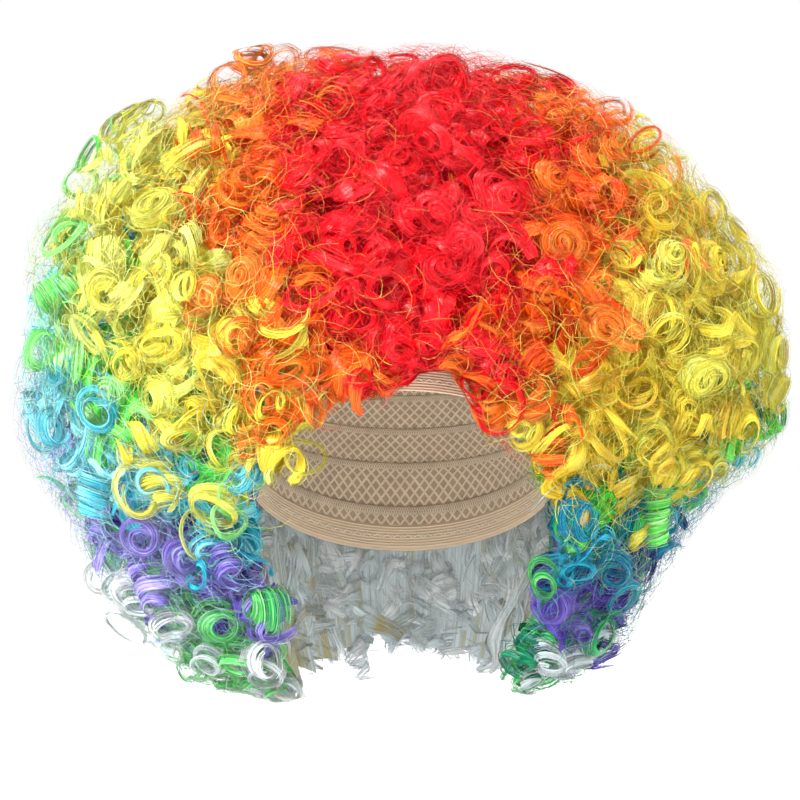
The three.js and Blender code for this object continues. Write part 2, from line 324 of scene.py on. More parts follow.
class Ribbons:
    """Collects sheets and ribbons of fibre as rows of quads, each laid on one strip of the OFBake map."""

    def __init__(self):
        self.points, self.faces, self.maps, self.count = [], [], [], 0
        self.slack = OVERREACH

    def add(self, sheet, tone, first=0.004, last=0.996, loose=False):
        """sheet is ribbons by steps by points across by 3. tone, from 0 to 1, picks each ribbon's strip, and
        the ribbon covers that strip from first to last. A loose ribbon shows gaps between its fibres."""
        ribbons, steps, across = sheet.shape[:3]
        if not ribbons:
            return
        sheet = keep_form(sheet, self.slack)
        start = self.count + np.arange(ribbons)[:, None, None] * steps * across
        start = start + np.arange(steps - 1)[None, :, None] * across + np.arange(across - 1)[None, None, :]
        quad = np.stack([start, start + 1, start + across + 1, start + across], -1)
        strip = np.clip((tone * TONE_STEPS).astype(int), 0, TONE_STEPS - 1) + (0 if loose else TONE_STEPS)
        along = np.linspace(0, 1, steps) * np.reshape(last - first, (-1, 1)) + np.reshape(first, (-1, 1))
        side = (strip[:, None] + np.linspace(0.06, 0.94, across)) / STRIPS
        low_u, high_u = along[:, :-1, None], along[:, 1:, None]
        low_v, high_v = side[:, None, :-1], side[:, None, 1:]
        shape = quad.shape[:3]
        u = np.stack([np.broadcast_to(k, shape) for k in (low_u, low_u, high_u, high_u)], -1)
        v = np.stack([np.broadcast_to(k, shape) for k in (low_v, high_v, high_v, low_v)], -1)
        self.points.append(sheet.reshape(-1, 3))
        self.faces.append(quad.reshape(-1, 4))
        self.maps.append(np.stack([u, v], -1).reshape(-1, 2))
        self.count += ribbons * steps * across

    def piece(self, name, material):
        points = np.concatenate(self.points)
        faces = np.concatenate(self.faces)
        mesh = bpy.data.meshes.new(name)
        mesh.vertices.add(len(points))
        mesh.vertices.foreach_set("co", points.astype(np.float32).ravel())
        mesh.loops.add(faces.size)
        mesh.loops.foreach_set("vertex_index", faces.astype(np.int32).ravel())
        mesh.polygons.add(len(faces))
        mesh.polygons.foreach_set("loop_start", np.arange(0, faces.size, 4, dtype=np.int32))
        mesh.update(calc_edges=True)
        return finished_piece(mesh, "OFBake", self.maps, material)


def strip_points(middle, flat):
    """The two edges of flat ribbons, ready to add."""
    return np.stack([middle - flat, middle + flat], -2)


class Coils:
    """Locks that wind round an axis: their paths, and across each path the band's width and its outer side."""

    def __init__(self, root, axis, turns, first, last, rise, cone, random, steps, hollow=False):
        """first and last are the radii at the root and the tip. cone leans the band in towards the axis."""
        count = len(root)
        side, across = side_axes(axis, random)
        share = np.linspace(0, 1, steps)[None, :]
        hand = np.where(random.random((count, 1)) < 0.5, -1, 1)
        turn = hand * 2 * math.pi * turns[:, None] * share + random.uniform(0, 2 * math.pi, (count, 1))
        wave = 1
        for height, low, high in ((0.13, 3, 9), (0.07, 12, 24)):
            pace = random.uniform(low, high, (count, 1))
            wave = wave + height * np.sin(share * pace + random.uniform(0, 6, (count, 1)))
        radius = (first[:, None] + (last - first)[:, None] * share) * wave
        oval = random.uniform(0.6, 1, (count, 1, 1))
        round_out = side[:, None] * np.cos(turn)[..., None] + oval * across[:, None] * np.sin(turn)[..., None]
        axis = axis[:, None]
        pace, phase = random.uniform(5, 16, (count, 2)), random.uniform(0, 6, (count, 2))
        off = 0.16 * np.maximum(first, last)[:, None, None] * (
            side[:, None] * np.sin(share * pace[:, :1] + phase[:, :1])[..., None]
            + across[:, None] * np.sin(share * pace[:, 1:] + phase[:, 1:])[..., None])
        middle = root[:, None] + axis * (rise[:, None] * share)[..., None]
        self.path = middle + round_out * radius[..., None] + off
        sway = unit(random.normal(size=(count, 1, 3))) * (share ** 2)[..., None]
        self.path = self.path + sway * random.uniform(0, 6, (count, 1, 1)) * MM
        sink = -1 if hollow else 1
        lean = cone[:, None, None]
        self.wide = unit(sink * np.cos(lean) * axis - np.sin(lean) * round_out)
        self.outer = unit(np.sin(lean) * axis + sink * np.cos(lean) * round_out)
        self.share = share[0]
        self.count, self.steps = count, steps

    def face(self, towards):
        """Turns the bands so that their outer sides face the given directions."""
        along = unit(np.gradient(self.path, axis=1))
        self.wide = unit(np.cross(along, towards))
        self.outer = np.cross(self.wide, along)


def add_coils(ribbons, coils, half, tone, random, strands=3, loose=4, columns=2, combed=True):
    """Each lock is a rounded band of fibre with strands that lie on it and others that stray from it."""
    share = coils.share
    taper = np.interp(share, [0, 0.15, 0.8, 1], [0.45, 1, 0.85, 0.3])[None, :, None]
    half = half[:, None, None]
    place = np.linspace(-1, 1, columns + 1)
    frayed = 1 + 0.25 * np.sin(share[None, :, None] * 17 + random.uniform(0, 6, (coils.count, 1, 1)))
    sheet = coils.path[:, :, None] + (0.9 * half * taper * frayed)[..., None] * (
        place[:, None] * coils.wide[:, :, None] + 0.36 * (1 - place[:, None] ** 2) * coils.outer[:, :, None])
    ribbons.add(sheet, np.clip(tone - 0.02, 0, 0.999), loose=combed)
    wander = random.uniform(-1.2, 1.2, (coils.count, strands, 1))
    wander = wander + 0.22 * np.sin(share * random.uniform(2, 9, (coils.count, strands, 1)) + wander * 9)
    path, wide, outer = coils.path[:, None], coils.wide[:, None], coils.outer[:, None]
    reach = (half * taper)[:, None]
    lift = random.uniform(0.1, 1.5, (coils.count, strands, 1, 1)) * MM
    wander = wander[..., None]
    middle = path + reach * (wander * wide + 0.3 * (1 - wander ** 2) * outer) + lift * outer
    thin = random.uniform(0.14, 0.36, (coils.count, strands, 1, 1)) * MM * (0.4 + 0.6 * taper[:, None])
    roll = random.normal(0, 0.5, (coils.count, strands, 1, 1))
    tones = np.clip(tone[:, None] + random.normal(0.08, 0.2, (coils.count, strands)), 0, 0.999)
    shape = (-1, coils.steps, 2, 3)
    ribbons.add(strip_points(middle, thin * unit(wide + roll * outer)).reshape(shape), tones.ravel())
    skip = slice(None, None, 2)
    path, wide, outer = path[:, :, skip], wide[:, :, skip], outer[:, :, skip]
    turn = random.uniform(0, 2 * math.pi, (coils.count, loose, 1))
    turn = turn + random.normal(0, 1.6, (coils.count, loose, 1)) * share[skip]
    reach = reach[:, :, skip] * random.uniform(1.1, 2.3, (coils.count, loose, 1, 1))
    cos, sin = np.cos(turn)[..., None], np.sin(turn)[..., None]
    middle = path + reach * cos * wide + reach * (0.6 * sin + 0.35) * outer
    thin = random.uniform(0.12, 0.2, (coils.count, loose, 1, 1)) * MM
    tones = np.clip(tone[:, None] + random.normal(0.2, 0.15, (coils.count, loose)), 0, 0.999)
    shape = (-1, len(share[skip]), 2, 3)
    ribbons.add(strip_points(middle, thin * unit(wide + 0.6 * outer)).reshape(shape), tones.ravel())


def tone_at(place, colour, random, spread=0.15):
    """Tone of the fibres at a place: light and dark drift over the wig, a fall towards the right that is partly
    painted shade, with its own spread in each lock.
    """
    drift = 0.09 * np.sin(place[..., 0] * 41 + 1.3) + 0.09 * np.sin(place[..., 2] * 53 + place[..., 1] * 37)
    # The fall towards the right is partly painted shade on the side away from the key light.
    tone = 0.52 + drift - TONE_AND_SHADE_FALL[colour] * place[..., 0]
    return np.clip(tone + random.normal(0, spread, place.shape[:-1]), 0.02, 0.98)


# Hair of one ring of colour

random = np.random.default_rng(RANDOM_START)


def spread_hair(count, jitter, clear, mixing, room):
    """Directions over the ball, their reach and clear reach, and their rings, -1 where the room is thin."""
    direction = fibonacci_directions(count, random, jitter)
    reach = hair_reach(direction)
    clear = clear_reach(direction, clear)
    ring = ring_near(direction, mixing, random)
    return direction, reach, clear, np.where(reach - clear > room, ring, -1)


lock_direction, lock_reach, lock_clear, lock_ring = spread_hair(LOCKS, 1.0, 2 * MM, 0.07, LOCK_ROOM)
lock_kind = random.random(LOCKS)
fill_direction, fill_reach, fill_clear, fill_ring = spread_hair(FILLING, 1.5, 4 * MM, 0.05, FILLING_ROOM)
frizz_direction, frizz_reach, frizz_clear, frizz_ring = spread_hair(FRIZZ, 1.5, 0, 0.14, FRIZZ_ROOM)
frizz_curled = random.random(FRIZZ) < 0.34


def leaning(direction, amount, droop, random):
    """Directions that lean from the given ones at random, and a little down."""
    side = unit(np.cross(direction, random.normal(size=direction.shape)))
    angle = amount[:, None]
    return unit(np.cos(angle) * direction + np.sin(angle) * side + droop * DOWN)


def add_locks(ribbons, colour, random):
    """The curls that make the outside."""
    low = 0
    chosen = lock_ring == COLOURS.index(colour)
    for high, depth, first, last, turns, rise, cone, half, lean, steps, hollow in LOCK_KINDS.values():
        some = chosen & (lock_kind >= low) & (lock_kind < high)
        direction, reach, clear = lock_direction[some], lock_reach[some], lock_clear[some]
        count = len(direction)

        def pick(span, scale=1.0):
            return random.uniform(span[0], span[1], count) * scale

        reach = reach * lumps(direction)
        root_reach = np.maximum(reach - pick(depth, MM), clear + 5 * MM)
        root = HAIR_MIDDLE + direction * root_reach[:, None]
        axis = leaning(direction, pick(lean), 0.12, random)
        size = random.uniform(0.85, 1.12, count)
        coils = Coils(root, axis, pick(turns), pick(first, MM) * size, pick(last, MM) * size,
                      pick(rise, MM) * size, pick(cone), random, steps, hollow)
        # Locks rooted deeper under the outer form get a lower tone: painted shade for depth.
        shade = np.clip((reach - root_reach) / (40 * MM), 0, 1) * 0.22
        tone = tone_at(root, colour, random) - shade
        add_coils(ribbons, coils, pick(half, MM) * size, tone, random)
        low = high


def add_filling(ribbons, colour, random):
    """Broad waved tresses under the curls."""
    chosen = fill_ring == COLOURS.index(colour)
    direction, reach = fill_direction[chosen], fill_reach[chosen]
    count = len(direction)
    root_reach = np.maximum(reach - random.uniform(17, 30, count) * MM, fill_clear[chosen] + 4 * MM)
    root = HAIR_MIDDLE + direction * root_reach[:, None]
    axis = leaning(direction, random.uniform(1.1, 1.6, count), 0.2, random)
    length = random.uniform(34, 52, count) * MM
    ring = random.uniform(4, 8, count) * MM
    coils = Coils(root - axis * length[:, None] / 2, axis, random.uniform(0.8, 1.7, count), ring, ring, length,
                  np.zeros(count), random, 20)
    coils.face(unit(direction + random.normal(0, 0.35, direction.shape))[:, None])
    # The tresses under the curls are set darker: painted shade beneath the curls.
    tone = tone_at(root, colour, random) - 0.16
    add_coils(ribbons, coils, random.uniform(5, 8, count) * MM, tone, random, 1, 2, combed=False)


def add_edge(ribbons, colour, random):
    """Small curls along the edge of the face opening."""
    count = EDGE_CURLS
    drop = random.uniform(-0.02, 1, count)
    side = np.where(random.random(count) < 0.5, -1, 1)
    forehead = random.random(count) < 0.34
    middle = random.uniform(-0.55, 0.55, count) * FACE_HALF_WIDTH
    x = np.where(forehead, middle, side * (face_half(drop) + random.uniform(2, 9, count) * MM))
    edge_drop = np.interp(np.abs(x) / FACE_HALF_WIDTH, FACE_EDGE_HALF[:5], FACE_EDGE_DROP[:5])
    drop = np.where(forehead, edge_drop - random.uniform(0.0, 0.05, count), drop)
    z = -FOREHEAD_DROP - drop * FACE_HEIGHT
    spot = np.stack([x, front_depth(x, z, 0.02) * random.uniform(0.62, 0.97, count), z], -1)
    spot = spot[ring_near(unit(spot - HAIR_MIDDLE), 0.07, random) == COLOURS.index(colour)]
    count = len(spot)
    axis = unit(np.array([0, -1, -0.5]) + random.normal(0, 0.5, (count, 3)))
    first = random.uniform(5, 9, count) * MM
    coils = Coils(spot - axis * 4 * MM, axis, random.uniform(1.4, 2.6, count), first,
                  first * random.uniform(0.3, 0.9, count), random.uniform(6, 16, count) * MM,
                  random.uniform(0.1, 0.9, count), random, 28)
    add_coils(ribbons, coils, random.uniform(1.4, 2.8, count) * MM, tone_at(spot, colour, random), random, 3, 5)


def add_inside(ribbons, colour, random):
    """Curls on the inner side of the hair beside the face."""
    count = INSIDE_CURLS
    side = np.where(random.random(count) < 0.5, -1, 1)
    drop = random.uniform(0.12, 1, count)
    x = side * (face_half(drop) + random.uniform(4, 9, count) * MM)
    z = -FOREHEAD_DROP - drop * FACE_HEIGHT
    spot = np.stack([x, front_depth(x, z, 0.02) * random.uniform(-0.1, 0.66, count), z], -1)
    kept = ring_near(unit(spot - HAIR_MIDDLE), 0.1, random) == COLOURS.index(colour)
    spot, side = spot[kept], side[kept]
    count = len(spot)
    inward = np.stack([-0.6 * side, np.full(count, -0.3), np.full(count, -0.9)], -1)
    axis = unit(inward + random.normal(0, 0.4, (count, 3)))
    first = random.uniform(7, 11, count) * MM
    coils = Coils(spot - axis * 6 * MM, axis, random.uniform(1.6, 2.6, count), first,
                  first * random.uniform(0.4, 0.9, count), random.uniform(10, 20, count) * MM,
                  random.uniform(0.1, 0.8, count), random, 24)
    add_coils(ribbons, coils, random.uniform(2.4, 3.8, count) * MM, tone_at(spot, colour, random), random, 2, 3)


def add_frizz(ribbons, colour, random):
    """Fine fibres over the outside, a few of them beyond the outline: curled ones and short straighter ones."""
    chosen = frizz_ring == COLOURS.index(colour)
    for curled, steps in ((True, 7), (False, 4)):
        some = chosen & (frizz_curled == curled)
        direction = frizz_direction[some]
        reach, clear = frizz_reach[some], frizz_clear[some]
        count = len(direction)
        low = np.maximum(clear + 2 * MM, reach - random.uniform(-5, 9, count) * MM)
        start = HAIR_MIDDLE + direction * (low * lumps(direction))[:, None]
        if curled:
            length = random.gamma(4, 6.5, count).clip(10, 50) * MM
            ring = random.uniform(4.5, 16, count) * MM
        else:
            length = random.gamma(4, 3.6, count).clip(6, 30) * MM
            ring = random.uniform(12, 45, count) * MM
        side, across = side_axes(direction, random)
        share = np.linspace(0, 1, steps)[None, :]
        turn = share * (length / ring)[:, None]
        tip = unit(direction * random.normal(0.15, 0.4, (count, 1)) + side)
        lift = random.normal(0.12, 0.2, (count, 1)) * length[:, None] * share
        bend = ring[:, None, None] * (
            tip[:, None] * np.sin(turn)[..., None] + across[:, None] * (1 - np.cos(turn))[..., None])
        path = start[:, None] + direction[:, None] * lift[..., None] + bend
        flat = unit(random.normal(size=(count, 1, 3)))
        half = random.uniform(0.11, 0.2, (count, 1, 1)) * MM * (1 - 0.5 * share[..., None])
        tone = np.clip(tone_at(start, colour, random, 0.2) + 0.3, 0, 0.999)
        ribbons.add(strip_points(path, half * flat), tone)


def add_base(ribbons, colour, random):
    """The dense hair next to the cap, as broad ribbons that lie side by side, outside and inside."""
    rows, columns = 70, 150
    tilt = (np.arange(rows + 1) / rows) * math.pi
    turn = (np.arange(columns + 1) / columns) * 2 * math.pi
    tilt, turn = np.meshgrid(tilt, turn, indexing="ij")
    direction = np.stack([np.sin(tilt) * np.cos(turn), np.sin(tilt) * np.sin(turn), np.cos(tilt)], -1)
    inner = clear_reach(direction, 5 * MM)
    bump = 3 * MM * np.sin(9 * turn + 5 * tilt) * np.sin(13 * tilt + 3 * np.sin(4 * turn))
    outer = np.maximum(hair_reach(direction) - BASE_DEPTH + bump, inner + 1 * MM)
    uneven = 0.09 * np.sin(np.arange(columns) * 2.4) + 0.06 * np.sin(np.arange(columns) * 0.7)
    ring = ring_of(unit(direction[:-1, :-1] + uneven[:, None] * DOWN))
    reach = hair_reach(direction)
    chosen = ring == COLOURS.index(colour)
    tone = tone_at(HAIR_MIDDLE + direction[:-1, :-1] * 0.1, colour, random, 0)
    # The dense hair next to the cap is set darker and held to the deep half of the tone scale: painted shade under
    # the curls.
    tone = tone + random.normal(-0.22, 0.1, columns)
    first = np.broadcast_to(0.3 + 0.6 * np.arange(rows)[:, None] / rows, tone.shape)
    for surface, clear in ((outer, clear_reach(direction, 16 * MM)), (inner - 3 * MM, inner)):
        point = HAIR_MIDDLE + direction * surface[..., None]
        thick = (reach - clear > BASE_ROOM)[:-1, :-1]
        upper, lower = (np.stack([row[:, :-1], row[:, 1:]], 2) for row in (point[:-1], point[1:]))
        sheet = np.stack([upper, lower], 2)
        corners = np.stack([clear[:-1, :-1], clear[1:, :-1], clear[:-1, 1:], clear[1:, 1:]])
        some = chosen & thick & (corners.max(0) - corners.min(0) < BASE_STEP)
        ribbons.add(sheet[some], np.clip(tone[some], 0.02, 0.5), first[some], first[some] + 0.6 / rows)


def add_curtain(ribbons, colour, random):
    """The hair that hangs below the cap, seen from inside: waved tresses with curls before them."""
    for curled, count in ((False, CURTAIN_TRESSES), (True, CURTAIN_CURLS)):
        turn = random.uniform(0.0, 1.0, count) * math.pi
        rim = dome_point(turn, rim_tilt(turn, 0), 0)[:, 2]
        low = LOWEST + 22 * MM
        height = random.uniform(low, np.maximum(rim, low + 1 * MM), count) if curled else rim + 4 * MM
        level = np.clip((-height - CROWN_HEIGHT) / NAPE_TAPER, 0, 0.99)
        wall = (random.uniform(8, 15, count) if curled else random.uniform(4, 9, count)) * MM
        shrink = np.sqrt(1 - level ** 2)
        wide, deep = HEAD_HALF_WIDTH * shrink + wall, HEAD_HALF_DEPTH * shrink + wall
        spot = np.stack([wide * np.cos(turn), deep * np.sin(turn), height], -1)
        direction = unit(spot - HAIR_MIDDLE + (0 if curled else 30 * MM) * DOWN)
        spot = spot[ring_near(direction, 0.07, random) == COLOURS.index(colour)]
        count = len(spot)
        inward = unit(spot * np.array([-1, -1, 0.0]))
        if curled:
            axis = inward * random.uniform(0.1, 1.0, (count, 1)) + random.normal(0, 0.4, (count, 3))
            axis = unit(axis + 0.9 * DOWN)
            first = random.uniform(6, 10, count) * MM
            coils = Coils(spot, axis, random.uniform(1.6, 2.8, count), first,
                          first * random.uniform(0.4, 0.9, count), random.uniform(12, 24, count) * MM,
                          random.uniform(0.1, 0.6, count), random, 28)
            # Curls inside the hanging hair are set a little darker: painted shade inside the wig.
            tone = tone_at(spot, colour, random) - 0.06
            add_coils(ribbons, coils, random.uniform(2.0, 3.2, count) * MM, tone, random)
        else:
            axis = unit(inward * 0.12 + random.normal(0, 0.1, (count, 3)) + DOWN)
            length = (spot[:, 2] - LOWEST) * random.uniform(0.75, 1.0, count)
            ring = random.uniform(2.5, 5, count) * MM
            coils = Coils(spot, axis, length / (random.uniform(30, 44, count) * MM), ring, ring, length,
                          np.zeros(count), random, 26)
            coils.face(inward[:, None] + random.normal(0, 0.25, (count, 1, 3)))
            # The tresses inside are set darker: painted shade inside the wig.
            tone = tone_at(spot, colour, random) - 0.1
            add_coils(ribbons, coils, random.uniform(4, 7, count) * MM, tone, random, 2, 3)


# Single curls that stand out in the front view. Columns: place across and down in the frame of the front view
# (800 by 800), how far it stands out of the hair, radii at the root and the tip, turns, rise, half width, cone,
# axis x, y, z, tone. Lengths in mm.
FEATURES = {
    "red": [
        (299, 261, 3, 11, 1.5, 3, 9, 3.2, 0.9, -0.2, -1, 0.1, 0.5),
        (500, 208, 3, 16, 2, 3.4, 10, 4, 0.9, 0.1, -1, 0.2, 0.62),
        (421, 143, 3, 13.5, 2, 3, 9, 3.6, 0.9, -0.1, -1, 0.4, 0.5),
        (456, 263, 4, 14, 2, 3.2, 9, 3.6, 0.9, 0.1, -1, 0.1, 0.6),
        (352, 318, 4, 12, 2, 3, 9, 3.4, 0.9, -0.1, -1, 0, 0.42),
        (400, 345, 5, 12, 2, 3, 9, 3.4, 0.9, 0, -1, 0, 0.48),
        (378, 80, 4, 10, 8, 1.6, 8, 2, 0.5, 0.1, -1, 0.3, 0.3),
        (446, 82, 2, 11, 8, 1.5, 8, 1.9, 0.4, 0, -1, 0.3, 0.25),
        (512, 84, 2, 10, 7, 1.7, 9, 2, 0.4, -0.1, -1, 0.4, 0.25),
        (556, 92, 0, 8, 6, 1.8, 10, 1.6, 0.3, 0.4, -0.7, 0.8, 0.3),
        (496, 402, 8, 19, 13, 1.2, 10, 3, 0.5, 0.1, -1, -0.2, 0.45),
        (470, 392, 6, 12, 7, 1.9, 8, 2.4, 0.6, -0.1, -1, -0.4, 0.35),
        (532, 420, 4, 9, 5, 2, 9, 2, 0.5, 0.3, -1, -0.5, 0.4),
    ],
    "orange": [
        (250, 286, 4, 13, 1.5, 3.2, 9, 3.4, 0.9, -0.1, -1, 0.1, 0.55),
        (213, 307, 4, 10.5, 1.5, 3, 8, 3, 0.9, -0.2, -1, 0, 0.6),
        (249, 343, 5, 10.5, 1.5, 3, 8, 3, 0.9, 0, -1, -0.1, 0.62),
        (547, 187, 3, 10, 1.5, 3, 8, 3, 0.9, 0.2, -1, 0.2, 0.45),
        (554, 253, 4, 10, 1.5, 3, 8, 3, 0.9, 0.2, -1, 0.1, 0.5),
        (592, 330, 4, 11, 1.5, 3, 8, 3.2, 0.9, 0.2, -1, 0, 0.55),
        (250, 62, 2, 9, 6, 1.8, 14, 1.4, 0.3, 0.2, -0.6, 1, 0.6),
        (240, 34, 2, 10, 7, 1.6, 10, 1.1, 0.3, 0.3, -1, 0.5, 0.62),
        (250, 52, 6, 11, 8, 2, 12, 2, 0.4, 0.2, -0.8, 0.6, 0.55),
        (276, 58, 4, 10, 6, 1.9, 9, 1.8, 0.4, 0.1, -1, 0.4, 0.58),
        (228, 88, 2, 11, 7, 1.8, 9, 1.6, 0.4, -0.2, -1, 0.4, 0.66),
        (333, 66, 0, 11, 9, 1.3, 5, 1.1, 0.3, 0, -1, 0.2, 0.45),
        (610, 112, 2, 11, 10, 1.2, 5, 1.2, 0.4, 0.2, -1, 0.5, 0.3),
        (640, 150, 2, 9, 7, 1.5, 7, 1.4, 0.4, 0.3, -1, 0.2, 0.45),
        (272, 398, 7, 11, 4, 2.4, 8, 2.8, 0.7, -0.1, -1, -0.1, 0.45),
        (300, 372, 7, 10, 4, 2.3, 8, 2.6, 0.7, 0.1, -1, 0, 0.5),
        (288, 428, 5, 9, 5, 2.4, 14, 2.2, 0.3, 0.2, -0.8, -0.9, 0.4),
        (262, 440, 4, 8, 5, 2.2, 12, 2, 0.3, 0.1, -0.6, -1, 0.55),
        (540, 446, 4, 8, 5, 2.8, 24, 2.2, 0.2, 0.1, -0.2, -1, 0.4),
        (520, 396, 6, 11, 4, 2.2, 8, 2.4, 0.7, 0.1, -1, 0.1, 0.5),
    ],
    "yellow": [
        (208, 528, 8, 9.5, 9, 1.3, 3, 0.7, 0.3, 0.1, -1, 0, 0.8),
        (120, 300, 4, 12, 2, 3, 9, 3.4, 0.9, -0.4, -1, 0.1, 0.66),
        (165, 215, 3, 12, 2, 3, 9, 3.4, 0.9, -0.3, -1, 0.2, 0.7),
        (660, 270, 3, 12, 2, 3, 9, 3.4, 0.9, 0.4, -1, 0.2, 0.6),
        (690, 380, 4, 12, 2, 3, 9, 3.2, 0.9, 0.4, -1, 0, 0.6),
        (128, 112, 2, 11, 8, 2, 10, 1.6, 0.4, -0.3, -0.9, 0.5, 0.7),
        (112, 126, 4, 9, 7, 2, 10, 1.8, 0.4, -0.5, -0.9, 0.3, 0.75),
        (146, 110, 3, 9, 7, 1.8, 9, 1.6, 0.4, 0.1, -0.9, 0.4, 0.6),
        (712, 214, 2, 9, 7, 2, 10, 1.8, 0.3, 0.8, -0.8, 0.3, 0.35),
        (752, 300, 3, 10, 8, 1.8, 9, 1.6, 0.3, 0.6, -1, 0.1, 0.45),
        (768, 350, 2, 10, 8, 2.6, 15, 2.2, 0.2, 1, -0.5, -0.3, 0.55),
        (772, 392, 2, 9, 8, 2, 12, 1.8, 0.2, 0.9, -0.7, -0.6, 0.5),
        (700, 462, 4, 11, 8, 1.8, 10, 2.2, 0.5, 0.2, -1, -0.4, 0.55),
        (640, 440, 5, 12, 5, 2.3, 9, 2.8, 0.7, 0, -1, -0.2, 0.62),
        (310, 450, 3, 10, 9, 1.1, 3, 0.6, 0.3, 0, -1, 0.1, 0.4),
        (150, 482, 7, 12, 8, 2, 8, 2.6, 0.5, -0.2, -1, -0.3, 0.72),
        (196, 434, 8, 12, 5, 2.4, 8, 2.8, 0.7, 0, -1, 0, 0.7),
        (236, 446, 7, 11, 9, 1.7, 6, 1.8, 0.4, 0.1, -1, 0, 0.66),
        (224, 500, 8, 11, 8, 2, 10, 2.2, 0.4, 0.1, -0.9, -0.6, 0.66),
        (176, 478, 8, 9, 6, 2.6, 16, 2.4, 0.2, 0.1, -0.4, -1, 0.62),
    ],
    "green": [
        (239, 511, 8, 9, 8, 1.4, 3, 0.8, 0.3, 0.1, -1, 0, 0.85),
        (66, 296, 4, 8, 7, 3.2, 20, 2.6, 0.1, 1, -0.3, 0.2, 0.7),
        (50, 352, 4, 9, 8, 2.6, 16, 2.8, 0.1, 1, -0.4, -0.1, 0.62),
        (82, 182, 2, 10, 8, 1.4, 12, 1.2, 0.3, 0.5, -1, 0.4, 0.8),
        (78, 240, 3, 9, 7, 1.8, 9, 1.6, 0.3, 0.3, -1, 0.1, 0.8),
        (120, 130, 2, 11, 9, 1.2, 8, 1, 0.3, 0.2, -1, 0.1, 0.9),
        (88, 152, 2, 9, 7, 1.7, 8, 1.4, 0.4, -0.5, -0.9, 0.3, 0.6),
        (648, 512, 9, 8.5, 8, 4.6, 27, 2.5, 0.05, 0.05, -0.12, -1, 0.66),
    ],
    "blue": [
        (58, 428, 4, 9, 7, 2.6, 14, 2.6, 0.2, 0.9, -0.6, -0.3, 0.6),
        (112, 410, 6, 10, 6, 2.4, 12, 2.8, 0.5, -0.3, -1, -0.3, 0.62),
        (108, 492, 6, 9, 7, 2.8, 20, 2.8, 0.2, -0.1, -0.3, -1, 0.66),
        (76, 372, 4, 9, 6, 2.2, 10, 2.4, 0.4, -0.6, -0.9, 0.1, 0.55),
        (572, 512, 7, 10, 5, 2.3, 9, 2.6, 0.6, 0.1, -1, -0.1, 0.25),
        (604, 556, 8, 10, 6, 2.4, 12, 2.6, 0.4, 0.2, -0.9, -0.5, 0.35),
        (566, 566, 7, 9, 6, 2.4, 13, 2.4, 0.3, 0.1, -0.7, -0.8, 0.4),
        (618, 590, 6, 9, 6, 2, 10, 2, 0.3, 0.4, -0.9, -0.4, 0.65),
    ],
    "pale": [
        (98, 576, 2, 8, 7.5, 1.5, 3, 0.9, 0.3, 0, -1, 0.1, 0.9),
        (140, 590, 5, 11, 8, 1.8, 8, 2, 0.4, -0.2, -1, -0.3, 0.85),
        (178, 618, 6, 11, 6, 2.2, 8, 2.2, 0.5, -0.1, -1, -0.3, 0.8),
        (122, 630, 0, 10, 8, 1.6, 6, 1.6, 0.4, -0.4, -1, -0.4, 0.85),
        (270, 652, 8, 10, 6, 2.2, 10, 2.2, 0.4, 0.1, -0.9, -0.5, 0.8),
        (290, 684, 4, 9, 7, 1.6, 7, 1.8, 0.3, 0.1, -1, -0.3, 0.12),
        (572, 650, 9, 10, 5, 2.6, 13, 1.8, 0.5, 0.1, -0.8, -0.7, 0.46),
        (546, 650, 12, 9, 5, 2.8, 18, 1.5, 0.3, 0.3, -0.4, -1, 0.45),
        (528, 668, 9, 8, 5, 2.2, 12, 1.3, 0.4, -0.1, -0.6, -1, 0.5),
        (592, 630, 9, 9, 5, 2.2, 12, 1.6, 0.5, 0.3, -0.8, -0.6, 0.44),
        (556, 664, 6, 9, 4, 2.4, 12, 1.5, 0.5, 0.2, -0.7, -0.8, 0.58),
        (148, 598, 9, 10, 5, 2.2, 14, 1.4, 0.5, -0.3, -0.7, -0.8, 0.48),
        (118, 586, 7, 8, 6, 1.6, 6, 1, 0.4, -0.4, -1, 0.1, 0.56),
        (176, 626, 9, 9, 4, 2.2, 15, 1.3, 0.5, -0.2, -0.6, -0.9, 0.52),
        (214, 652, 8, 9, 5, 2.2, 13, 1.2, 0.5, -0.1, -0.7, -0.8, 0.48),
        (266, 662, 8, 9, 7, 2.2, 12, 1.2, 0.5, 0, -0.8, -0.7, 0.25),
    ],
    "purple": [
        (152, 530, 8, 10, 4, 2.4, 8, 2.6, 0.7, -0.1, -1, 0, 0.6),
        (196, 548, 9, 10, 4, 2.4, 8, 2.6, 0.7, 0, -1, -0.1, 0.55),
        (234, 552, 8, 9, 6, 2.6, 16, 2.4, 0.2, 0.2, -0.5, -1, 0.6),
        (540, 598, 7, 10, 5, 2.2, 9, 2.4, 0.6, 0.1, -1, -0.2, 0.45),
        (572, 620, 6, 9, 6, 2.2, 12, 2.2, 0.3, 0.2, -0.7, -0.8, 0.5),
    ],
    "teal": [
        (268, 598, 8, 9, 7, 3.2, 20, 2, 0.2, -1, -0.4, -0.3, 0.5),
        (226, 612, 8, 10, 6, 2.2, 10, 2.4, 0.4, 0, -1, -0.4, 0.66),
        (250, 648, 6, 10, 7, 2, 12, 2.2, 0.3, 0.3, -0.8, -0.8, 0.7),
        (232, 680, 3, 8, 6, 1.9, 12, 1.8, 0.3, 0.5, -0.5, -0.8, 0.78),
        (196, 660, 3, 10, 8, 1.6, 8, 1.6, 0.3, -0.3, -1, -0.4, 0.72),
        (536, 572, 8, 8, 5, 2, 9, 1.8, 0.5, 0, -1, -0.2, 0.55),
    ],
}

# The size of one step of that frame, and the origin's place in it
FRAME_STEP = 0.48 * MM
FRAME_MIDDLE = 403
FRAME_CROWN = 248
FACE_OF_HAIR = 0.92


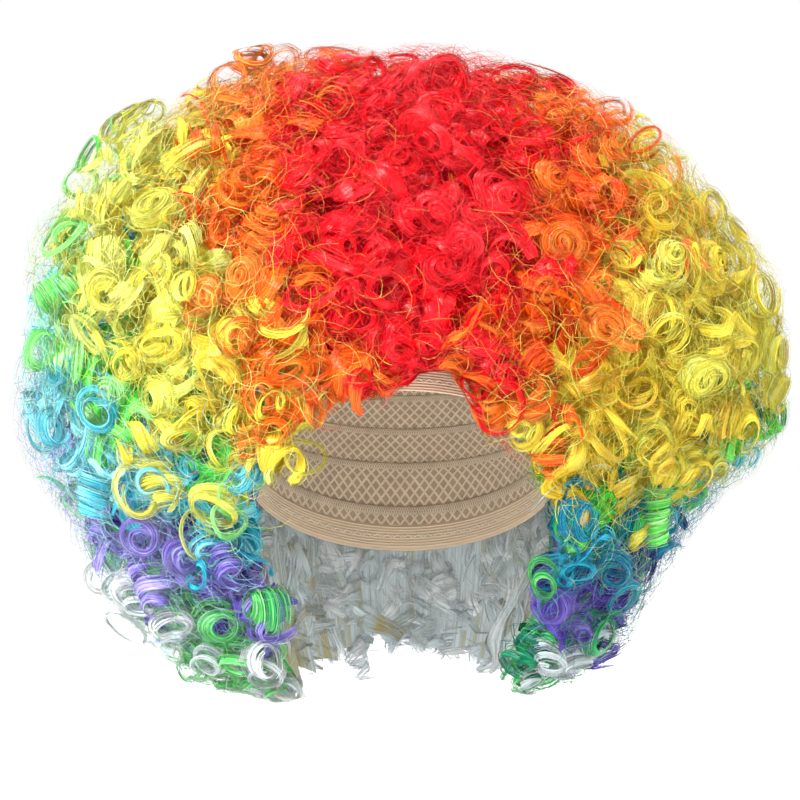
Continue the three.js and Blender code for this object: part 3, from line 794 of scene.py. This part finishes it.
def frame_place(across, down, stand):
    """A place on the hair's face where the front view shows it, set out towards the viewer."""
    x = (across - FRAME_MIDDLE) * FRAME_STEP
    z = (FRAME_CROWN - down) * FRAME_STEP
    return np.stack([x, front_depth(x, z) * FACE_OF_HAIR - stand * MM, z], -1)


def add_features(ribbons, colour, random):
    """The single curls of one colour, which may stand out further than the others."""
    ribbons.slack = FEATURE_SLACK
    for row in FEATURES[colour]:
        across, down, stand, first, last, turns, rise = (np.array([float(k)]) for k in row[:7])
        half, cone, x, y, z, tone = (np.array([float(k)]) for k in row[7:])
        axis = unit(unit(np.stack([x, y, z], -1)) + random.normal(0, 0.22, (1, 3)))
        root = frame_place(across, down, stand) - axis * rise[:, None] / 2 * MM
        steps = int(14 * turns[0]) + 8
        coils = Coils(root, axis, turns, first * MM, last * MM, rise * MM, cone, random, steps)
        add_coils(ribbons, coils, half * 1.2 * MM, tone, random, strands=7, loose=6, columns=3)


# Shader maths

class Value:
    """A number, colour or vector in a material, with the maths that its numbers need."""

    def __init__(self, finish, socket):
        self.finish, self.socket = finish, socket

    def __add__(self, other):
        return self.finish.math("ADD", self, other)

    def __radd__(self, other):
        return self.finish.math("ADD", other, self)

    def __sub__(self, other):
        return self.finish.math("SUBTRACT", self, other)

    def __rsub__(self, other):
        return self.finish.math("SUBTRACT", other, self)

    def __mul__(self, other):
        return self.finish.math("MULTIPLY", self, other)

    def __rmul__(self, other):
        return self.finish.math("MULTIPLY", other, self)

    def __pow__(self, other):
        return self.finish.math("POWER", self, other)


class Finish:
    """One material, built from nodes."""

    def __init__(self, name):
        self.material = bpy.data.materials.new(name)
        self.material.use_nodes = True
        self.tree = self.material.node_tree
        self.shader = self.tree.nodes["Principled BSDF"]

    def node(self, kind, settings=None, inputs=None, out=0):
        made = self.tree.nodes.new(kind)
        for key, value in (settings or {}).items():
            if key == "stops":
                ramp = made.color_ramp
                while len(ramp.elements) < len(value):
                    ramp.elements.new(1)
                for element, (place, colour) in zip(ramp.elements, value):
                    element.position = place
                    element.color = (*colour, 1)
            else:
                setattr(made, key, value)
        for key, value in (inputs or {}).items():
            self.feed(made.inputs[key], value)
        return Value(self, made.outputs[out])

    def feed(self, socket, value):
        if isinstance(value, Value):
            self.tree.links.new(value.socket, socket)
        elif isinstance(value, tuple) and len(value) == 3 and socket.type == "RGBA":
            socket.default_value = (*value, 1)
        else:
            socket.default_value = value

    def math(self, operation, first, second=0.5):
        """A maths node, for what a Value's own operators don't do."""
        return self.node("ShaderNodeMath", {"operation": operation}, {0: first, 1: second})

    def place(self, map_name):
        """Both parts of a map's place."""
        place = self.node("ShaderNodeUVMap", {"uv_map": map_name})
        parts = self.node("ShaderNodeSeparateXYZ", None, {0: place})
        return parts, Value(self, parts.socket.node.outputs[1])

    def spread(self, value, low, high, first=0.0, last=1.0):
        """A value from low to high, laid out from first to last and held there."""
        return self.node("ShaderNodeMapRange", None, {0: value, 1: low, 2: high, 3: first, 4: last})

    def noise(self, scale, detail, across=None, roughness=0.5):
        inputs = {"Scale": scale, "Detail": detail, "Roughness": roughness}
        if across:
            inputs["Vector"] = self.node("ShaderNodeCombineXYZ", None, dict(enumerate(across)))
        return self.node("ShaderNodeTexNoise", None, inputs)

    def grey(self, value):
        return self.node("ShaderNodeCombineColor", None, {0: value, 1: value, 2: value})

    def mix(self, kind, share, first, second):
        settings = {"data_type": "RGBA", "blend_type": kind}
        return self.node("ShaderNodeMix", settings, {0: share, 6: first, 7: second}, out=2)

    def set(self, **inputs):
        for key, value in inputs.items():
            self.feed(self.shader.inputs[key.replace("_", " ")], value)

    def bump(self, height, strength, distance):
        inputs = {"Height": height, "Strength": strength, "Distance": distance}
        self.set(Normal=self.node("ShaderNodeBump", None, inputs))


# Lines and fibres across one ribbon, the painted shade at the root and in the gaps between fibres, the gloss, and
# the painted glow of the fibres
LINES_ACROSS = 7.0
FIBRES_ACROSS = 19.0
ROOT_PAINTED_SHADE = 0.62
GAP_PAINTED_SHADE = 0.45
PALE_GAP_PAINTED_SHADE = 0.7
HAIR_ROUGHNESS = (0.2, 0.36)
HAIR_SPECULAR = 0.18
HAIR_PAINTED_GLOW = 0.14
FIBRE_RELIEF = 0.5 * MM


def hair_finish(colour, combed):
    """Glossy curled fibre: a tone for each ribbon, fine lines along it with patches of painted highlight, painted
    shade towards the root and in the gaps between fibres, a painted glow, gaps in the combed ones."""
    finish = Finish(colour + ("_combed_fibre" if combed else "_single_fibre"))
    along, up = finish.place("OFBake")
    strip = finish.math("FLOOR", up * STRIPS)
    dense = finish.math("GREATER_THAN", strip, TONE_STEPS - 0.5)
    tone = (strip - dense * TONE_STEPS) * (1 / TONE_STEPS) + 0.5 / TONE_STEPS
    lines = finish.noise(1.0, 3.0, (along * 3.0, up * (STRIPS * LINES_ACROSS)), 0.6)
    fine = finish.noise(1.0, 1.0, (along * 4.0, up * (STRIPS * FIBRES_ACROSS)))
    # Lighter patches along each ribbon push its tone to the light end of the scale: painted highlights.
    painted_highlight_patch = finish.noise(1.0, 1.0, (along * 7.0, strip * 7.3))
    shade = tone + (lines - 0.5) * 1.3 + (fine - 0.5) * 0.8 + (painted_highlight_patch - 0.5) * 1.0
    tones = TONES[colour]
    stops = [(k / (len(tones) - 1), tuple(part * TONE_LEVEL for part in tones[k])) for k in range(len(tones))]
    body = finish.node("ShaderNodeValToRGB", {"stops": stops}, {0: shade})
    # Painted shade: the fibres darken towards the root and in the gaps between the lines, where shade falls.
    root = finish.spread(along, 0.0, 0.55, ROOT_PAINTED_SHADE)
    painted_gap_shade = finish.spread(lines * 0.6 + fine * 0.4, 0.32, 0.5, PALE_GAP_PAINTED_SHADE if colour == "pale" else GAP_PAINTED_SHADE)
    if combed:
        edge = finish.math("ABSOLUTE", (up * STRIPS - strip) * 2 - 1.0)
        tip = finish.math("ABSOLUTE", along * 2 - 1.0)
        fibres = lines * 0.45 + fine * 0.55 - (edge ** 4.0) * 0.15 - (tip ** 10.0) * 0.12
        finish.set(Alpha=finish.math("MAXIMUM", finish.spread(fibres, 0.41, 0.44), dense))
    # The fibre colour with the painted shade of the root and the gaps multiplied in.
    deep = finish.mix("MULTIPLY", 1.0, body, finish.grey(root * painted_gap_shade))
    # Painted light: the fibres glow faintly in their own colour, though they are no lamp, standing in for light
    # passing through them and lifting their shade.
    finish.set(Base_Color=deep, Emission_Color=deep, Roughness=finish.spread(lines, 0.0, 1.0, *HAIR_ROUGHNESS))
    finish.set(Specular_IOR_Level=HAIR_SPECULAR, Emission_Strength=HAIR_PAINTED_GLOW)
    finish.bump(lines + fine * 0.6, 1.0, FIBRE_RELIEF)
    return finish.material


def make_hair(colour, number):
    """The curls and the loose fibres of one ring of colour."""
    random = np.random.default_rng(RANDOM_START + number + 1)
    curls, frizz = Ribbons(), Ribbons()
    add_base(curls, colour, random)
    add_filling(curls, colour, random)
    add_locks(curls, colour, random)
    add_edge(curls, colour, random)
    add_curtain(curls, colour, random)
    add_features(curls, colour, random)
    curls.slack = OVERREACH
    add_inside(curls, colour, random)
    add_frizz(frizz, colour, random)
    for name, ribbons in (("curls_", curls), ("frizz_", frizz)):
        piece = ribbons.piece(name + colour, hair_finish(colour, ribbons is curls))
        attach(piece, "root")
        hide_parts("hair_" + colour)


# Cap and edge band

# The net's holes are painted darker than its threads: painted shade in the openings.
NET_SHADED_HOLES = (0.50, 0.36, 0.24)
NET_THREADS = (0.84, 0.67, 0.50)
# The band's grooves are painted darker than its ridges: painted shade in the creases between ribs.
BAND_SHADED_GROOVES = (0.60, 0.44, 0.30)
BAND_RIDGES = (0.80, 0.62, 0.45)
STITCH_THREAD = (0.82, 0.70, 0.55)
CLOTH_SHEEN = 0.2
THREAD_RELIEF = 0.4 * MM

# Meshes of the net round the cap and from the crown down, rows of seam tape, their half width, how far they
# stand in from the net as a share of its radius, the band's ribs and zigzags and its half thickness as a share
NET_ROUND = 96
NET_DOWN = 40
SEAMS = 11
TAPE_HALF = 1.7 * MM
TAPE_STAND = 0.008
BAND_RIBS = 9
ZIGZAGS = 180
BAND_HALF = 0.0068


class Cloth:
    """Collects grids of cloth, each with its own map of threads: u round the head and v from the crown down."""

    def __init__(self):
        self.points, self.faces, self.maps, self.count = [], [], [], 0

    def grid(self, points, u, v, flip=False):
        rows, columns = points.shape[:2]
        index = np.arange(rows * columns).reshape(rows, columns) + self.count
        quad = np.stack([index[:-1, :-1], index[:-1, 1:], index[1:, 1:], index[1:, :-1]], -1).reshape(-1, 4)
        place = np.stack([u, v], -1).reshape(-1, 2)
        quad = quad[:, ::-1] if flip else quad
        self.points.append(points.reshape(-1, 3))
        self.faces.append(quad)
        self.maps.append(place[quad.ravel() - self.count])
        self.count += rows * columns

    def piece(self, name, material):
        points, faces = np.concatenate(self.points), np.concatenate(self.faces)
        mesh = bpy.data.meshes.new(name)
        mesh.from_pydata(points.tolist(), [], faces.tolist())
        return finished_piece(mesh, "threads", self.maps, material)


def net_finish():
    """Beige net: crossing threads that stand out, with painted shade in the holes between them."""
    finish = Finish("beige_net")
    u, v = finish.place("threads")
    one = finish.math("SINE", (u + v) * 2 * math.pi)
    two = finish.math("SINE", (u - v) * 2 * math.pi)
    mask = finish.spread(finish.math("MAXIMUM", one, two), 0.35, 0.85)
    grain, worn = finish.noise(900.0, 2.0), finish.noise(28.0, 3.0)
    cloth = finish.mix("MIX", mask, NET_SHADED_HOLES, NET_THREADS)
    cloth = finish.mix("MULTIPLY", 0.35, cloth, finish.grey(worn))
    finish.set(Base_Color=cloth, Roughness=0.85, Sheen_Weight=CLOTH_SHEEN)
    finish.bump(mask + grain * 0.3, 0.8, THREAD_RELIEF)
    return finish.material


def band_finish():
    """Elastic band: fine ribs along it with a row of zigzag stitches."""
    finish = Finish("elastic_band")
    u, v = finish.place("threads")
    ribs = finish.math("SINE", v * (2 * math.pi * BAND_RIBS))
    zigzag = finish.math("PINGPONG", u * ZIGZAGS, 1.0)
    stitch = finish.spread(finish.math("ABSOLUTE", v * 7 - 3.0 - zigzag), 0.28, 0.12)
    weave = finish.noise(700.0, 2.0)
    # Painted shade: the grooves between the ribs are darker.
    cloth = finish.mix("MIX", ribs * 0.5 + 0.5, BAND_SHADED_GROOVES, BAND_RIDGES)
    cloth = finish.mix("MIX", stitch, cloth, STITCH_THREAD)
    finish.set(Base_Color=cloth, Roughness=0.8, Sheen_Weight=CLOTH_SHEEN)
    finish.bump(ribs * 0.4 + stitch + weave * 0.3, 0.8, THREAD_RELIEF)
    return finish.material


def make_cap():
    """The net dome with the rows of seam tape that the wefts of hair are sewn to."""
    rows, columns = 44, 120
    cloth = Cloth()
    turn = np.linspace(0, 2 * math.pi, columns + 1)
    share = np.linspace(0, 1, rows + 1)
    share, turn = np.meshgrid(share, turn, indexing="ij")
    tilt = rim_tilt(turn, BAND_WIDTH + PIECE_GAP) * np.maximum(share, 0.002)
    u, v = turn / (2 * math.pi) * NET_ROUND, share * NET_DOWN
    cloth.grid(dome_point(turn, tilt, 0), u, v)
    cloth.grid(dome_point(turn, tilt, NET_WALL), u, v, True)
    rim = np.stack([dome_point(turn[-1], tilt[-1], NET_WALL), dome_point(turn[-1], tilt[-1], 0)])
    cloth.grid(rim, u[-2:], v[-2:])
    half = np.linspace(-1, 1, 6)[:, None]
    for seam in range(1, SEAMS + 1):
        middle = rim_tilt(turn[0], BAND_WIDTH + PIECE_GAP) * (seam - 0.3) / SEAMS
        level = middle[None] + half * TAPE_HALF / CROWN_HEIGHT
        round_turn = np.broadcast_to(turn[0], level.shape)
        tape = dome_point(round_turn, level, 0) * (1 - TAPE_STAND * (1 - half[..., None] ** 4))
        cloth.grid(tape, round_turn * 60, np.broadcast_to(half, level.shape) * 0.9)
    piece = cloth.piece("net_cap", net_finish())
    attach(piece, "root")
    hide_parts("cap")


def make_band():
    """The elastic band round the rim, its edges rolled over."""
    columns = 160
    cloth = Cloth()
    turn = np.linspace(0, 2 * math.pi, columns + 1)
    section = np.linspace(0, 2 * math.pi, 25)
    across, wall = (1 - np.cos(section)) / 2, np.sin(section)
    flat = np.clip(wall * 2.2, -1, 1)
    section, turn = np.meshgrid(section, turn, indexing="ij")
    top, low = rim_tilt(turn, BAND_WIDTH), rim_tilt(turn, 0)
    tilt = top + (low - top) * across[:, None]
    points = dome_point(turn, tilt, NET_WALL / 2) * (1 - flat[:, None, None] * BAND_HALF)
    cloth.grid(points, turn / (2 * math.pi), np.broadcast_to(across[:, None], turn.shape))
    piece = cloth.piece("elastic_band", band_finish())
    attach(piece, "root")
    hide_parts("edge_band")


# Stage

FLOOR_SIDE = 6.0
FLOOR_LEVEL = HAIR_MIDDLE[2] - 0.22
LIGHT_AIM = Vector((0, 0, -0.06))

# Name, place, side and power of each light
LIGHTS = [
    ("key_light", (-1.1, -1.9, 1.3), 0.5, 160),
    ("fill_light", (1.7, -1.4, 0.5), 1.0, 22),
    ("top_light", (0.1, 0.3, 1.8), 0.9, 36),
]

# How far away the camera stands, its place across and up, and the width that it shows there
CAMERA_AWAY = 1.9
CAMERA_X = -0.0014
CAMERA_Z = -0.073
VIEW_WIDTH = 0.384
SENSOR_WIDTH = 36


def make_stage():
    """A white floor and world with three soft lights."""
    scene = bpy.context.scene
    scene.view_settings.view_transform = "Standard"
    world = bpy.data.worlds.new("studio")
    scene.world = world
    world.use_nodes = True
    world.node_tree.nodes["Background"].inputs[0].default_value = (1, 1, 1, 1)
    world.node_tree.nodes["Background"].inputs[1].default_value = 1.0
    mesh = bpy.data.meshes.new("floor")
    corners = [(x * FLOOR_SIDE, y * FLOOR_SIDE, FLOOR_LEVEL) for x, y in ((-1, -1), (1, -1), (1, 1), (-1, 1))]
    mesh.from_pydata(corners, [], [(0, 1, 2, 3)])
    floor = bpy.data.objects.new("floor", mesh)
    scene.collection.objects.link(floor)
    paper = Finish("floor_paper")
    paper.set(Base_Color=(0.97, 0.97, 0.97), Roughness=1.0)
    mesh.materials.append(paper.material)
    for name, place, size, power in LIGHTS:
        light = bpy.data.lights.new(name, "AREA")
        light.size, light.energy = size, power
        lamp = bpy.data.objects.new(name, light)
        lamp.location = place
        lamp.rotation_euler = (LIGHT_AIM - Vector(place)).to_track_quat("-Z", "Y").to_euler()
        scene.collection.objects.link(lamp)


def make_camera():
    """Straight from the front, level with the face opening, from far enough to keep the depth flat."""
    camera = bpy.data.cameras.new("camera")
    camera.sensor_width = SENSOR_WIDTH
    camera.lens = SENSOR_WIDTH * CAMERA_AWAY / VIEW_WIDTH
    stand = bpy.data.objects.new("camera", camera)
    stand.location = (CAMERA_X, -CAMERA_AWAY, CAMERA_Z)
    stand.rotation_euler = (math.radians(90), 0, 0)
    bpy.context.scene.collection.objects.link(stand)
    bpy.context.scene.camera = stand


make_camera()
make_stage()
make_cap()
make_band()
for number, colour in enumerate(COLOURS):
    make_hair(colour, number)
